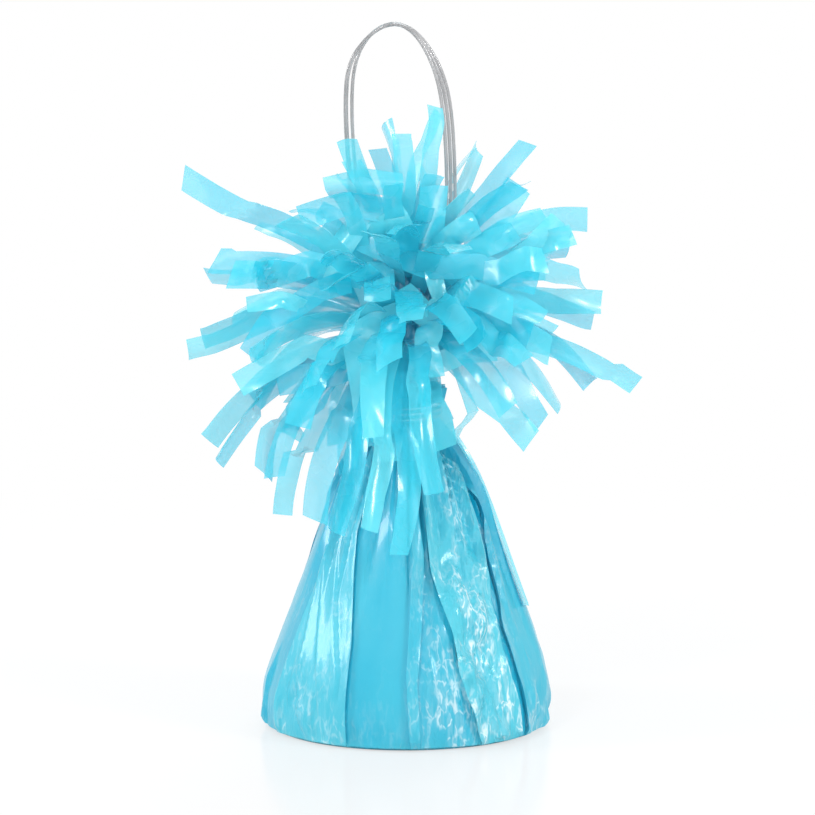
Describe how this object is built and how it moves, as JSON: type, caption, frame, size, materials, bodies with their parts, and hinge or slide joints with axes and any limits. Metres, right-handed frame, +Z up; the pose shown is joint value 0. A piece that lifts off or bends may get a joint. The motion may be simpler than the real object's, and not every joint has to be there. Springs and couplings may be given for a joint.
{
  "type": "balloon weight",
  "caption": "Cone-shaped balloon weight wrapped in pleated light blue film, gathered at a tied neck under a burst of film fringe, with a springy clear line loop for balloon ribbons.",
  "frame": {"origin": "centre of the resting face, on the floor under the neck", "axes": "+Z up along the neck, +X to the right and -Y towards the viewer, with the handle's arch in the XZ plane"},
  "size_m": [0.1013, 0.0868, 0.1556],
  "materials": {
    "film": "glossy translucent film",
    "cup": "matte",
    "mortar": "rough cast",
    "wire": "bright drawn",
    "line": "clear, glossy"
  },
  "bodies": {
    "weight": {"cast_weight": "mortar", "film_head": "film", "film_sack": "film", "fringe_crown_back": "film", "fringe_crown_front": "film", "fringe_crown_left": "film", "fringe_crown_right": "film", "fringe_hanging_back": "film", "fringe_hanging_front": "film", "fringe_hanging_left": "film", "fringe_hanging_right": "film", "fringe_lower_back": "film", "fringe_lower_front": "film", "fringe_lower_left": "film", "fringe_lower_right": "film", "fringe_middle_back": "film", "fringe_middle_front": "film", "fringe_middle_left": "film", "fringe_middle_right": "film", "fringe_upper_back": "film", "fringe_upper_front": "film", "fringe_upper_left": "film", "fringe_upper_right": "film", "neck_tie": "wire", "weight_cup": "cup"},
    "handle": {"handle_loop": "line"}
  },
  "joints": [
    {"name": "handle_lean", "type": "hinge", "parent": "weight", "child": "handle", "pos_m": [0, 0, 0.103], "axis": [1, 0, 0], "range_deg": [-20, 20], "stiffness_Nm_per_rad": 0.002}
  ]
}
